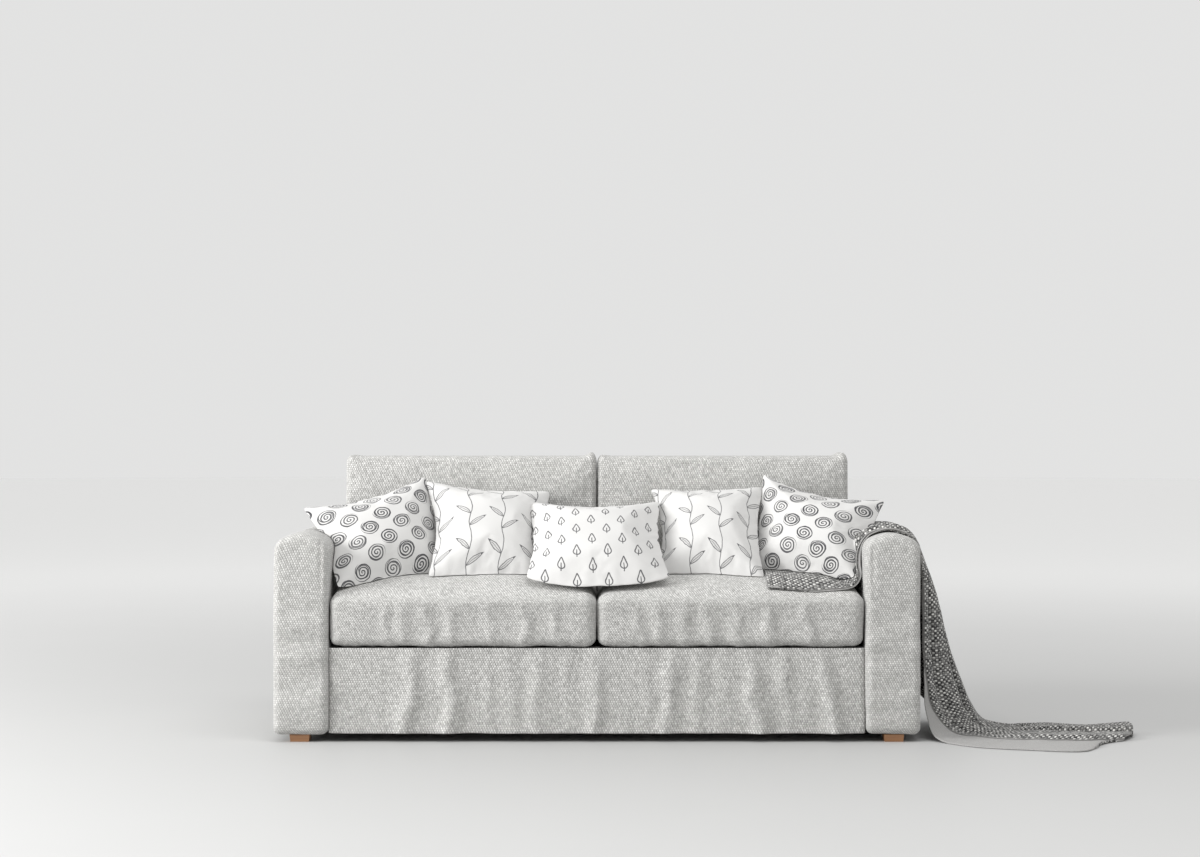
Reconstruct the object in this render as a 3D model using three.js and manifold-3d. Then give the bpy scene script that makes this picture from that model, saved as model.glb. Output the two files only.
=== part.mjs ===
// A two-seat sofa in a loose linen cover, dressed with five scatter cushions and a folded throw.
//
// Millimetres. Seen from the front, +X is to the right, +Y runs from front to back and +Z is up.
// The origin is on the floor under the middle of the sofa's body.

import * as THREE from 'three';
import { mergeVertices } from 'three/addons/utils/BufferGeometryUtils.js';
import Module from 'manifold-3d';

const wasm = await Module();
wasm.setup();

// Driving dimensions of the sofa's body
const WIDTH = 2000;
const DEPTH = 860;
const ARM_THICKNESS = 171;
const ARM_CROWN_HEIGHT = 650;
const ARM_RISE = 38;
const HEM_CLEARANCE = 23;
const BACK_HEIGHT = 800;
const DECK_HEIGHT = 290;

// Driving dimensions of the loose cushions
const SEAT_EDGE_HEIGHT = 452;
const SEAT_CROWN_HEIGHT = 504;
const BACK_CUSHION_TOP = 881;
const BACK_CUSHION_THICKNESS = 165;

// Driving dimensions of the scatter cushions and the throw
const SCATTER_THICKNESS = 150;
const THROW_THICKNESS = 9;
const THROW_FRONT = -290;
const THROW_REAR = 40;

// Clearance between pieces that touch, and the wider one round soft pieces that lean on others
const GAP = 0.3;
const SOFT_GAP = 1.5;

// Places worked out from the driving dimensions
const FRONT = -DEPTH / 2;
const REAR = DEPTH / 2;
const ARM_OUTER = WIDTH / 2;
const ARM_INNER = ARM_OUTER - ARM_THICKNESS;
const ARM_MIDDLE = (ARM_OUTER + ARM_INNER) / 2;
const INSIDE = ARM_INNER - GAP;
const SIDES = [['left', -1], ['right', 1]];

const LINEN = 0xc8c7c4;
const PRINTED_COTTON = 0xf1f0ed;
const WOVEN_THROW = 0x8f8f8d;
const THROW_LINING = 0xcfcfcd;
const OAK = 0x96694a;

const sofa = new THREE.Group();

function add(name, geometry, colour, roughness = 0.9) {
  const material = new THREE.MeshStandardMaterial({ color: colour, roughness, metalness: 0 });
  const mesh = new THREE.Mesh(geometry, material);
  mesh.name = name;
  sofa.add(mesh);
  return mesh;
}

// Solids, for cutting one piece clear of another

function solidOf(geometry) {
  const bare = geometry.clone();
  bare.deleteAttribute('normal');
  bare.deleteAttribute('uv');
  const merged = mergeVertices(bare, 1e-3);
  return new wasm.Manifold(new wasm.Mesh({
    numProp: 3,
    vertProperties: new Float32Array(merged.attributes.position.array),
    triVerts: new Uint32Array(merged.index.array),
  }));
}

// The largest closed surface of a solid, so that a cut leaves no loose scrap
function geometryOf(solid) {
  const largest = solid.decompose().sort((a, b) => b.volume() - a.volume())[0];
  const mesh = largest.getMesh();
  const geometry = new THREE.BufferGeometry();
  const positions = Float32Array.from(mesh.vertProperties);
  geometry.setAttribute('position', new THREE.BufferAttribute(positions, 3));
  geometry.setIndex(new THREE.BufferAttribute(Uint32Array.from(mesh.triVerts), 1));
  return geometry;
}

function cutClear(geometry, cutters) {
  let solid = solidOf(geometry);
  for (const cutter of cutters) solid = solid.subtract(solidOf(cutter));
  return geometryOf(solid);
}

function block(x0, x1, y0, y1, z0, z1) {
  const box = new THREE.BoxGeometry(x1 - x0, y1 - y0, z1 - z0);
  return box.translate((x0 + x1) / 2, (y0 + y1) / 2, (z0 + z1) / 2);
}

// Arms: upright padded boards with an arched top and rounded front and rear edges

const ARM_EDGE_ROUND = 16;
const ARM_SHOULDER_ROUND = 24;

// The arched outline of an arm seen from the front, grown all round by a given amount. The arch
// ends half a shoulder's round short of the sides, and the round leads on from there.
function armOutline(grow) {
  const half = ARM_THICKNESS / 2;
  const archRadius = (half ** 2 + ARM_RISE ** 2) / (2 * ARM_RISE) + grow;
  const archCentre = ARM_CROWN_HEIGHT + grow - archRadius;
  const side = half + grow;
  const archStart = Math.asin((side - ARM_SHOULDER_ROUND / 2) / archRadius);
  const shoulderHeight = archCentre + Math.sqrt(archRadius ** 2 - side ** 2);
  const outline = new THREE.Shape();
  outline.moveTo(-side, HEM_CLEARANCE - grow);
  outline.lineTo(side, HEM_CLEARANCE - grow);
  outline.lineTo(side, shoulderHeight - ARM_SHOULDER_ROUND);
  outline.quadraticCurveTo(
    side,
    shoulderHeight,
    Math.sin(archStart) * archRadius,
    archCentre + Math.cos(archStart) * archRadius,
  );
  outline.absarc(0, archCentre, archRadius, Math.PI / 2 - archStart, Math.PI / 2 + archStart);
  outline.quadraticCurveTo(-side, shoulderHeight, -side, shoulderHeight - ARM_SHOULDER_ROUND);
  outline.closePath();
  return outline;
}

function armGeometry(side, grow = 0) {
  const geometry = new THREE.ExtrudeGeometry(armOutline(grow - ARM_EDGE_ROUND), {
    depth: DEPTH + 2 * (grow - ARM_EDGE_ROUND),
    bevelThickness: ARM_EDGE_ROUND,
    bevelSize: ARM_EDGE_ROUND,
    bevelSegments: 2,
    curveSegments: 5,
  });
  geometry.rotateX(Math.PI / 2);
  geometry.translate(side * ARM_MIDDLE, REAR + grow - ARM_EDGE_ROUND, 0);
  return geometry;
}

for (const [name, side] of SIDES) {
  add(`arm_${name}`, armGeometry(side), LINEN);
}

// Back frame: an upholstered panel between the arms whose front face leans back

const FRAME_FRONT_LOW = 225;
const FRAME_FRONT_HIGH = 285;
const FRAME_EDGE_ROUND = 12;
const FRAME_TOP_ROUND = 18;

// How far forward the leaning face of the back frame stands at a given height
function frameFront(z) {
  const climb = (z - DECK_HEIGHT) / (BACK_HEIGHT - DECK_HEIGHT);
  return FRAME_FRONT_LOW + climb * (FRAME_FRONT_HIGH - FRAME_FRONT_LOW);
}

function backFrame() {
  const inset = FRAME_EDGE_ROUND;
  const hem = HEM_CLEARANCE + inset;
  const top = BACK_HEIGHT - inset;
  const shoulder = top - FRAME_TOP_ROUND;
  const rear = REAR - inset;
  const front = FRAME_FRONT_HIGH + inset;
  const outline = new THREE.Shape();
  outline.moveTo(FRAME_FRONT_LOW + inset, hem);
  outline.lineTo(rear, hem);
  outline.lineTo(rear, shoulder);
  outline.quadraticCurveTo(rear, top, rear - FRAME_TOP_ROUND, top);
  outline.lineTo(front + FRAME_TOP_ROUND, top);
  outline.quadraticCurveTo(front, top, frameFront(shoulder) + inset, shoulder);
  outline.lineTo(FRAME_FRONT_LOW + inset, DECK_HEIGHT);
  outline.closePath();
  const geometry = new THREE.ExtrudeGeometry(outline, {
    depth: 2 * (INSIDE - inset),
    bevelThickness: inset,
    bevelSize: inset,
    bevelSegments: 2,
    curveSegments: 4,
  });
  // The outline's plane turns upright: its first axis becomes +Y and its second +Z
  geometry.rotateX(Math.PI / 2);
  geometry.rotateZ(Math.PI / 2);
  geometry.translate(-(INSIDE - inset), 0, 0);
  return geometry;
}

add('back_frame', backFrame(), LINEN);

// Seat base between the arms, with the cover's skirt hanging in front of it

const BASE_UNDERSIDE = 60;
const SKIRT_RECESS = 10;
const SKIRT_THICKNESS = 9;
const SKIRT_HEM = 26;
const SKIRT_FOLDS = 7;
const SKIRT_FOLD_DEPTH = 4;
const SKIRT_CUTS_PER_FOLD = 6;
const SKIRT_CUTS_DOWN = 4;

const skirtFront = FRONT + SKIRT_RECESS;
const baseFront = skirtFront + SKIRT_THICKNESS + 2 * SKIRT_FOLD_DEPTH;

add(
  'seat_base',
  block(-INSIDE, INSIDE, baseFront + GAP, FRAME_FRONT_LOW - GAP, BASE_UNDERSIDE, DECK_HEIGHT),
  LINEN,
);

// The skirt hangs straight at its top and falls into soft upright folds towards its hem
function skirtGeometry() {
  const height = DECK_HEIGHT - SKIRT_HEM;
  const cutsAcross = SKIRT_CUTS_PER_FOLD * SKIRT_FOLDS;
  const geometry = new THREE.BoxGeometry(
    2 * INSIDE, SKIRT_THICKNESS, height, cutsAcross, 1, SKIRT_CUTS_DOWN,
  );
  geometry.translate(0, skirtFront + SKIRT_THICKNESS / 2, SKIRT_HEM + height / 2);
  const position = geometry.attributes.position;
  for (let i = 0; i < position.count; i += 1) {
    const x = position.getX(i);
    const drop = (DECK_HEIGHT - position.getZ(i)) / height;
    const fold = 1 + Math.sin((x / INSIDE) * Math.PI * SKIRT_FOLDS);
    position.setY(i, position.getY(i) + SKIRT_FOLD_DEPTH * drop * fold);
  }
  return geometry;
}

add('skirt_front', skirtGeometry(), LINEN);

// Feet: short tapered blocks, one at each corner and a support under the middle of the base

const FOOT_TOP = 62;
const FOOT_BOTTOM = 57;
const FOOT_RECESS = 22;
const FOOT_FROM_SIDE = 50;

function footGeometry(height) {
  const corner = Math.SQRT1_2;
  const foot = new THREE.CylinderGeometry(FOOT_TOP * corner, FOOT_BOTTOM * corner, height, 4);
  foot.rotateY(Math.PI / 4);
  foot.rotateX(Math.PI / 2);
  return foot.translate(0, 0, height / 2);
}

const footX = ARM_OUTER - FOOT_FROM_SIDE - FOOT_TOP / 2;
const footY = DEPTH / 2 - FOOT_RECESS - FOOT_TOP / 2;
for (const [name, side] of SIDES) {
  for (const [place, end] of [['front', -1], ['rear', 1]]) {
    const foot = add(`foot_${place}_${name}`, footGeometry(HEM_CLEARANCE - GAP), OAK, 0.6);
    foot.position.set(side * footX, end * footY, 0);
  }
}
add('foot_centre', footGeometry(BASE_UNDERSIDE - GAP), OAK, 0.6);

// Stuffed box cushions: rounded along their edges, with faces that swell towards their middles.
// bulge gives the swell of the top and front faces, grow enlarges the cushion all round,
// and reshape moves each finished point where the cushion presses on something.

const SWELL_POWER = 4;
const GATHER_POWER = 1.5;
const ON_FACE = 1 - 1e-6;

function stuffedBox({ low, high, radius, cuts, bulge, grow, reshape }) {
  const bare = new THREE.BoxGeometry(2, 2, 2, ...cuts);
  bare.deleteAttribute('normal');
  bare.deleteAttribute('uv');
  const geometry = mergeVertices(bare, 1e-6);
  const position = geometry.attributes.position;
  const middle = low.clone().add(high).multiplyScalar(0.5);
  const half = high.clone().sub(low).multiplyScalar(0.5).addScalar(grow);
  const round = radius + grow;
  const coreHalf = half.clone().subScalar(round);
  const swell = (a, b) => (1 - a ** SWELL_POWER) * (1 - b ** SWELL_POWER);
  // Points gather towards the edges, where the shape turns
  const gather = (part) => Math.sign(part) * (1 - (1 - Math.abs(part)) ** GATHER_POWER);
  const unit = new THREE.Vector3();
  for (let i = 0; i < position.count; i += 1) {
    unit.fromBufferAttribute(position, i);
    unit.set(gather(unit.x), gather(unit.y), gather(unit.z));
    const place = unit.clone().multiply(half);
    const core = place.clone().clamp(coreHalf.clone().negate(), coreHalf);
    place.sub(core).setLength(round).add(core);
    if (unit.z > ON_FACE) place.z += bulge.top * swell(unit.x, unit.y);
    if (unit.y < -ON_FACE) place.y -= bulge.front * swell(unit.x, unit.z);
    place.add(middle);
    reshape(place, grow);
    position.setXYZ(i, place.x, place.y, place.z);
  }
  return geometry;
}

// Seat cushions: the back cushions press their rear part flat

const SEAT_REAR = FRAME_FRONT_LOW - GAP;
const SEAT_EDGE_ROUND = 34;
const SEAT_CUTS = [12, 10, 6];
const SEAT_SHOULDER_HEIGHT = SEAT_EDGE_HEIGHT + 22;
const SEAT_FRONT_SWELL = 14;
const SEAT_PRESSED_HEIGHT = 488;
const PRESSED_MARGIN = 25;
const BACK_CUSHION_FOOT = SEAT_PRESSED_HEIGHT + GAP;
const PRESSED_FROM = frameFront(BACK_CUSHION_FOOT) - BACK_CUSHION_THICKNESS - PRESSED_MARGIN;

// Where the cushions of one side start and end across the sofa
function cushionEnds(side) {
  return side < 0 ? [-INSIDE, -GAP / 2] : [GAP / 2, INSIDE];
}

function seatCushion(side, grow = 0) {
  const [left, right] = cushionEnds(side);
  return stuffedBox({
    low: new THREE.Vector3(left, FRONT + SEAT_FRONT_SWELL / 2, DECK_HEIGHT + GAP),
    high: new THREE.Vector3(right, SEAT_REAR, SEAT_SHOULDER_HEIGHT),
    radius: SEAT_EDGE_ROUND,
    cuts: SEAT_CUTS,
    bulge: { top: SEAT_CROWN_HEIGHT - SEAT_SHOULDER_HEIGHT, front: SEAT_FRONT_SWELL },
    grow,
    reshape: (place) => {
      if (place.y > PRESSED_FROM) place.z = Math.min(place.z, SEAT_PRESSED_HEIGHT + grow);
    },
  });
}

// Back cushions: they stand on the seat and lean on the frame

const BACK_EDGE_ROUND = 30;
const BACK_CUTS = [12, 5, 9];
const BACK_FRONT_SWELL = 16;

function backCushion(side, grow = 0) {
  const [left, right] = cushionEnds(side);
  return stuffedBox({
    low: new THREE.Vector3(left, -BACK_CUSHION_THICKNESS, BACK_CUSHION_FOOT),
    high: new THREE.Vector3(right, 0, BACK_CUSHION_TOP),
    radius: BACK_EDGE_ROUND,
    cuts: BACK_CUTS,
    bulge: { top: 0, front: BACK_FRONT_SWELL },
    grow,
    reshape: (place) => {
      place.y += frameFront(place.z) - GAP;
    },
  });
}

for (const [name, side] of SIDES) {
  add(`seat_cushion_${name}`, seatCushion(side), LINEN);
  add(`back_cushion_${name}`, backCushion(side), LINEN);
}

// Throw: a blanket folded double, laid on the seat, over the right arm and out along the floor

const THROW_SEAT_START = 530;
const THROW_SEAT_FRONT = -385;
const THROW_SADDLE_FROM = SEAT_CROWN_HEIGHT - 12;
const THROW_SADDLE_END = 600;
const THROW_TOP = GAP + THROW_THICKNESS;

// The stretch of blanket that lies on a piece, as thick as the blanket, within a region
function layerOver(pieceGrownBy, region) {
  const outer = solidOf(pieceGrownBy(THROW_TOP));
  const inner = solidOf(pieceGrownBy(GAP));
  return outer.subtract(inner).intersect(region);
}

const onArm = (grow) => armGeometry(1, grow);
const onSeat = (grow) => seatCushion(1, grow);
const armInside = ARM_INNER - THROW_TOP - GAP;

// The part of the sofa where the blanket lies, between its front and rear edges
function stretchOf(x0, x1, front, bottom) {
  return solidOf(block(x0, x1, front, THROW_REAR, bottom, BACK_CUSHION_TOP));
}

const seatRegion = stretchOf(THROW_SEAT_START, armInside, THROW_SEAT_FRONT, SEAT_EDGE_HEIGHT);
add('throw_seat', geometryOf(layerOver(onSeat, seatRegion)), WOVEN_THROW);

const besideArm = 2 * THROW_TOP;
const saddleInside = stretchOf(ARM_INNER - besideArm, ARM_MIDDLE, THROW_FRONT, THROW_SADDLE_FROM);
const saddleOutside = stretchOf(ARM_MIDDLE, ARM_OUTER + besideArm, THROW_FRONT, THROW_SADDLE_END);
add('throw_arm', geometryOf(layerOver(onArm, saddleInside.add(saddleOutside))), WOVEN_THROW);

// A strip of cloth between two or three lines that run along it, from its front edge to its rear
// edge. It falls into ripples that rise from the surface of the lines, and lies on the floor.
function clothStrip({ lines, thickness, start, end, cuts, ripples, rippleDepth }) {
  const curves = lines.map(
    (line) => new THREE.CatmullRomCurve3(line.map((point) => new THREE.Vector3(...point))),
  );
  const pointAt = (along, across) => {
    const places = curves.map((curve) => curve.getPoint(along));
    if (places.length === 2) return places[0].lerp(places[1], across);
    const place = places[0].multiplyScalar((1 - 2 * across) * (1 - across));
    place.addScaledVector(places[1], 4 * across * (1 - across));
    return place.addScaledVector(places[2], across * (2 * across - 1));
  };
  const geometry = new THREE.BoxGeometry(2, 2, 2, ...cuts, 1);
  const position = geometry.attributes.position;
  const step = 1e-3;
  for (let i = 0; i < position.count; i += 1) {
    const along = start + ((end - start) * (position.getX(i) + 1)) / 2;
    const across = (position.getY(i) + 1) / 2;
    const face = (position.getZ(i) * thickness) / 2;
    const lengthwise = pointAt(Math.min(along + step, 1), across)
      .sub(pointAt(Math.max(along - step, 0), across));
    const widthwise = pointAt(along, across + step).sub(pointAt(along, across - step));
    const outward = lengthwise.cross(widthwise).normalize();
    const wave = 1 - Math.cos(2 * Math.PI * ripples * across);
    const ripple = (rippleDepth * Math.sin(Math.PI * along) * wave) / 2;
    const place = pointAt(along, across).addScaledVector(outward, ripple + face);
    place.z = Math.max(place.z, face > 0 ? thickness : 0);
    position.setXYZ(i, place.x, place.y, place.z);
  }
  return geometry;
}

// The hanging and lying stretch, from the arm's outer shoulder to the far end on the floor
const THROW_SIDE = ARM_OUTER + GAP + THROW_THICKNESS / 2;
const THROW_LOW = THROW_THICKNESS / 2;
const THROW_FRONT_EDGE = [
  [THROW_SIDE, -285, THROW_SADDLE_END], [1014, -295, 500], [1020, -300, 400], [1026, -300, 290],
  [1033, -300, 180], [1052, -298, 90], [1110, -306, 28], [1190, -335, 8], [1275, -380, THROW_LOW],
  [1379, -405, THROW_LOW], [1500, -415, THROW_LOW], [1630, -400, THROW_LOW],
];
const THROW_MIDDLE_LINE = [
  [THROW_SIDE, -110, THROW_SADDLE_END], [1042, -95, 500], [1092, -90, 400], [1124, -70, 290],
  [1162, -50, 180], [1202, -45, 85], [1252, -75, 28], [1320, -130, 8], [1390, -195, THROW_LOW],
  [1470, -238, THROW_LOW], [1580, -262, THROW_LOW], [1689, -258, THROW_LOW],
];
const THROW_REAR_EDGE = [
  [THROW_SIDE, 45, THROW_SADDLE_END], [1013, 115, 500], [1018, 148, 400], [1026, 155, 290],
  [1036, 150, 180], [1085, 133, 80], [1205, 78, 24], [1309, 0, 7], [1385, -95, THROW_LOW],
  [1474, -155, THROW_LOW], [1570, -180, THROW_LOW], [1672, -165, THROW_LOW],
];
const THROW_FLOOR_FROM = 0.5;
const THROW_SPLIT = 2e-3;
const THROW_CUTS = [11, 9];
const THROW_RIPPLES = 3;
const THROW_RIPPLE_DEPTH = 12;

const blanketLines = {
  lines: [THROW_FRONT_EDGE, THROW_MIDDLE_LINE, THROW_REAR_EDGE],
  thickness: THROW_THICKNESS,
  cuts: THROW_CUTS,
  ripples: THROW_RIPPLES,
  rippleDepth: THROW_RIPPLE_DEPTH,
};
const throwDrop = clothStrip({ ...blanketLines, start: THROW_SPLIT, end: THROW_FLOOR_FROM });
const throwFloor = clothStrip({ ...blanketLines, start: THROW_FLOOR_FROM + THROW_SPLIT, end: 1 });
add('throw_drop', throwDrop, WOVEN_THROW);
add('throw_floor', throwFloor, WOVEN_THROW);

// The lower half of the folded blanket shows its plain side where it comes out in front
const LINING_THICKNESS = 5;
const LINING_LOW = LINING_THICKNESS / 2;
const LINING_SETBACK = 5;
const LINING_FROM_POINT = 4;
const LINING_CUTS = [14, 3];
const LINING_FRONT_EDGE = [
  [1030, -316, 180], [1044, -325, 90], [1066, -372, 26], [1094, -440, 5], [1160, -545, LINING_LOW],
  [1290, -618, LINING_LOW], [1466, -659, LINING_LOW], [1546, -440, LINING_LOW],
];
const liningRearEdge = THROW_FRONT_EDGE.slice(LINING_FROM_POINT).map(
  ([x, y, z]) => [x, y - LINING_SETBACK, Math.max(z - THROW_LOW, LINING_LOW)],
);
const lining = clothStrip({
  lines: [LINING_FRONT_EDGE, liningRearEdge],
  thickness: LINING_THICKNESS,
  start: 0,
  end: 1,
  cuts: LINING_CUTS,
  ripples: 0,
  rippleDepth: 0,
});
add('throw_lining', lining, THROW_LINING);

// Scatter cushions: square covers over soft filling, leaning back on the back cushions.
// corners run top left, top right, bottom right, bottom left, as seen from the front.

const SCATTER_CUTS = 12;
const SCATTER_EDGE_PULL = 0.07;
const SCATTER_ROUNDNESS = 0.6;

const SCATTERS = [
  { name: 'scatter_drops_centre',
    corners: [[-224, -20, 731], [205, -20, 731], [229, -360, 504], [-220, -360, 504]] },
  { name: 'scatter_vines_left',
    corners: [[-565, 45, 797], [-152, 70, 762], [-165, -240, 497], [-532, -290, 503]] },
  { name: 'scatter_vines_right',
    corners: [[174, 60, 769], [545, 45, 777], [527, -290, 498], [185, -235, 508]] },
  { name: 'scatter_roundels_left',
    corners: [[-946, -100, 713], [-563, 60, 813], [-480, -170, 500], [-806, -375, 474]] },
  { name: 'scatter_roundels_right',
    corners: [[543, 60, 821], [927, -100, 738], [810, -320, 495], [478, -150, 512]] },
];

// A pillow between four corners: two crowned faces that meet in a seam along the edge
function pillow(corners, grow = 0) {
  const [topLeft, topRight, bottomRight, bottomLeft] = corners.map((c) => new THREE.Vector3(...c));
  const rise = topRight.clone().sub(bottomLeft);
  const fall = topLeft.clone().sub(bottomRight);
  const outward = rise.clone().cross(fall).normalize();
  const stretch = 1 + (2 * grow) / topLeft.distanceTo(topRight);
  const halfThickness = SCATTER_THICKNESS / 2 + grow;
  const seamPoint = (i) => -Math.cos((Math.PI * i) / SCATTER_CUTS);
  const points = [];
  const rows = [];
  for (const face of [1, -1]) {
    const grid = [];
    for (let row = 0; row <= SCATTER_CUTS; row += 1) {
      grid.push([]);
      for (let column = 0; column <= SCATTER_CUTS; column += 1) {
        const onSeam = row % SCATTER_CUTS === 0 || column % SCATTER_CUTS === 0;
        if (face < 0 && onSeam) {
          grid[row].push(rows[0][row][column]);
          continue;
        }
        const a = seamPoint(column);
        const b = seamPoint(row);
        const across = (1 + stretch * a * (1 - SCATTER_EDGE_PULL * (1 - b * b))) / 2;
        const up = (1 + stretch * b * (1 - SCATTER_EDGE_PULL * (1 - a * a))) / 2;
        const low = bottomLeft.clone().lerp(bottomRight, across);
        const high = topLeft.clone().lerp(topRight, across);
        const thickness = halfThickness * ((1 - a * a) * (1 - b * b)) ** SCATTER_ROUNDNESS;
        const place = low.lerp(high, up).addScaledVector(outward, face * thickness);
        grid[row].push(points.length / 3);
        points.push(place.x, place.y, place.z);
      }
    }
    rows.push(grid);
  }
  const triangles = [];
  rows.forEach((grid, face) => {
    for (let row = 0; row < SCATTER_CUTS; row += 1) {
      for (let column = 0; column < SCATTER_CUTS; column += 1) {
        const [p, q] = [grid[row][column], grid[row][column + 1]];
        const [s, r] = [grid[row + 1][column], grid[row + 1][column + 1]];
        if (face === 0) triangles.push(p, q, r, p, r, s);
        else triangles.push(p, r, q, p, s, r);
      }
    }
  });
  const geometry = new THREE.BufferGeometry();
  geometry.setAttribute('position', new THREE.Float32BufferAttribute(points, 3));
  geometry.setIndex(triangles);
  return geometry;
}

const supports = [-1, 1].flatMap((side) => {
  const blanket = side > 0 ? THROW_TOP : 0;
  return [
    seatCushion(side, blanket + SOFT_GAP),
    armGeometry(side, blanket + SOFT_GAP),
    backCushion(side, SOFT_GAP),
  ];
});
const inFront = [];
for (const { name, corners } of SCATTERS) {
  add(name, cutClear(pillow(corners), [...supports, ...inFront]), PRINTED_COTTON);
  inFront.push(pillow(corners, SOFT_GAP));
}

export default sofa;
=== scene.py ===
# A two-seat sofa in a loose linen cover, dressed with five scatter cushions and a folded throw.
# Metres. Seen from the front, +X is to the right, +Y runs from front to back and +Z is up.

import math

import bmesh
import bpy
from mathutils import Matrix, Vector, noise
from mathutils.bvhtree import BVHTree


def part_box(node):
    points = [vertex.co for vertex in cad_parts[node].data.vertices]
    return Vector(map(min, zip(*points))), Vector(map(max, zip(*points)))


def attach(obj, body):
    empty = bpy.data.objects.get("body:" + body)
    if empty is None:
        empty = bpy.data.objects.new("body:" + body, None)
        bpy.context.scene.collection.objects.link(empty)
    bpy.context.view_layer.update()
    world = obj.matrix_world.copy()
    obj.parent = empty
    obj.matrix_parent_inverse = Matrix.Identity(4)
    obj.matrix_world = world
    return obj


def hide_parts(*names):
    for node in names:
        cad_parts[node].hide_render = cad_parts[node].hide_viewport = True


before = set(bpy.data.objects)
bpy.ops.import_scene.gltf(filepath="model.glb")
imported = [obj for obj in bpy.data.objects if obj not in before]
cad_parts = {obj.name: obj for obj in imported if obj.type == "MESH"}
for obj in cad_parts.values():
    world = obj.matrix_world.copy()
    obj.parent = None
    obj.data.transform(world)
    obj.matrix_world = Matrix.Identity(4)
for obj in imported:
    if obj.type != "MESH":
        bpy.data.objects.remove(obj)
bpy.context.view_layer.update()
scene = bpy.context.scene

# Camera
# It stands straight in front, eight metres off and just above the back cushions, with a long lens.
# The small shift brings the sofa to its place in the frame.

EYE = (0.008, -8.135, 0.974)
LENS = 75
IMAGE_WIDTH = 1200
SHIFT_RIGHT_PIXELS = 0.6
SHIFT_UP_PIXELS = -1.8

lens = bpy.data.cameras.new("camera")
lens.lens = LENS
lens.sensor_width = 36
lens.shift_x = SHIFT_RIGHT_PIXELS / IMAGE_WIDTH
lens.shift_y = SHIFT_UP_PIXELS / IMAGE_WIDTH
lens.clip_end = 100
camera = bpy.data.objects.new("camera", lens)
camera.location = EYE
camera.rotation_euler = (math.radians(90), 0, 0)
scene.collection.objects.link(camera)
scene.camera = camera

# Floor and light
# A plain pale floor in an even white studio. A broad soft light on the left models the folds, and
# another above lights the seats. The floor grows paler with distance, to meet the backdrop evenly.


class Wire:
    """The value of a socket in a material. Sums written with it become Math nodes."""

    def __init__(self, finish, socket):
        self.finish = finish
        self.socket = socket

    def maths(self, operation, *values):
        sockets = dict(enumerate(values))
        return self.finish.node("ShaderNodeMath", {"operation": operation}, sockets)

    def __add__(self, other):
        return self.maths("ADD", self, other)

    __radd__ = __add__

    def __sub__(self, other):
        return self.maths("SUBTRACT", self, other)

    def __rsub__(self, other):
        return self.maths("SUBTRACT", other, self)

    def __mul__(self, other):
        return self.maths("MULTIPLY", self, other)

    __rmul__ = __mul__

    def __truediv__(self, other):
        return self.maths("DIVIDE", self, other)

    def __abs__(self):
        return self.maths("ABSOLUTE", self)

    def __mod__(self, other):
        return self.maths("FLOORED_MODULO", self, other)

    def floor(self):
        return self.maths("FLOOR", self)

    def fraction(self):
        return self.maths("FRACT", self)

    def sine(self):
        return self.maths("SINE", self)

    def root(self):
        return self.maths("SQRT", self)

    def above(self, level):
        return self.maths("GREATER_THAN", self, level)

    def below(self, level):
        return self.maths("LESS_THAN", self, level)

    def larger(self, other):
        return self.maths("MAXIMUM", self, other)

    def smaller(self, other):
        return self.maths("MINIMUM", self, other)

    def clamped(self):
        return self.larger(0.0).smaller(1.0)


class Finish:
    """A material built node by node round one Principled shader."""

    def __init__(self, name, **steady):
        self.material = bpy.data.materials.new(name)
        self.material.use_nodes = True
        self.tree = self.material.node_tree
        self.shader = self.tree.nodes["Principled BSDF"]
        for socket, value in steady.items():
            self.shader.inputs[socket.replace("_", " ")].default_value = value

    def feed(self, socket, value):
        if isinstance(value, Wire):
            self.tree.links.new(value.socket, socket)
        else:
            socket.default_value = value

    def node(self, kind, settings=None, sockets=None, output=0):
        made = self.tree.nodes.new(kind)
        for setting, value in (settings or {}).items():
            setattr(made, setting, value)
        for socket, value in (sockets or {}).items():
            self.feed(made.inputs[socket], value)
        return Wire(self, made.outputs[output])

    def shade(self, **varying):
        for socket, value in varying.items():
            self.feed(self.shader.inputs[socket.replace("_", " ")], value)

    def split(self, vector):
        return [self.node("ShaderNodeSeparateXYZ", {}, {0: vector}, axis) for axis in range(3)]

    def point(self, x, y, z=0.0):
        return self.node("ShaderNodeCombineXYZ", {}, {0: x, 1: y, 2: z})

    def noise(self, place, scale, detail=2.0):
        sockets = {"Vector": place, "Scale": scale, "Detail": detail}
        return self.node("ShaderNodeTexNoise", {"noise_dimensions": "3D"}, sockets)

    def chance(self, place, output="Value"):
        return self.node("ShaderNodeTexWhiteNoise", {"noise_dimensions": "3D"}, {"Vector": place}, output)

    def mix(self, share, first, second):
        return self.node("ShaderNodeMix", {"data_type": "RGBA"}, {0: share, 6: first, 7: second}, 2)

    def bump(self, height, depth):
        return self.node("ShaderNodeBump", {}, {"Height": height, "Distance": depth})


FLOOR_RADIUS = 40
FLOOR_NEAR = (0.46, 0.46, 0.455, 1)
FLOOR_FAR = (0.98, 0.98, 0.975, 1)
FLOOR_FADE_LENGTH = 9.5
STUDIO_COLOUR = (0.955, 0.955, 0.95, 1)
STUDIO_STRENGTH = 0.80


def object_from(name, mesh_maker, material):
    mesh = bpy.data.meshes.new(name)
    mesh_maker.to_mesh(mesh)
    mesh_maker.free()
    mesh.materials.append(material)
    piece = bpy.data.objects.new(name, mesh)
    scene.collection.objects.link(piece)
    return piece


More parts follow.
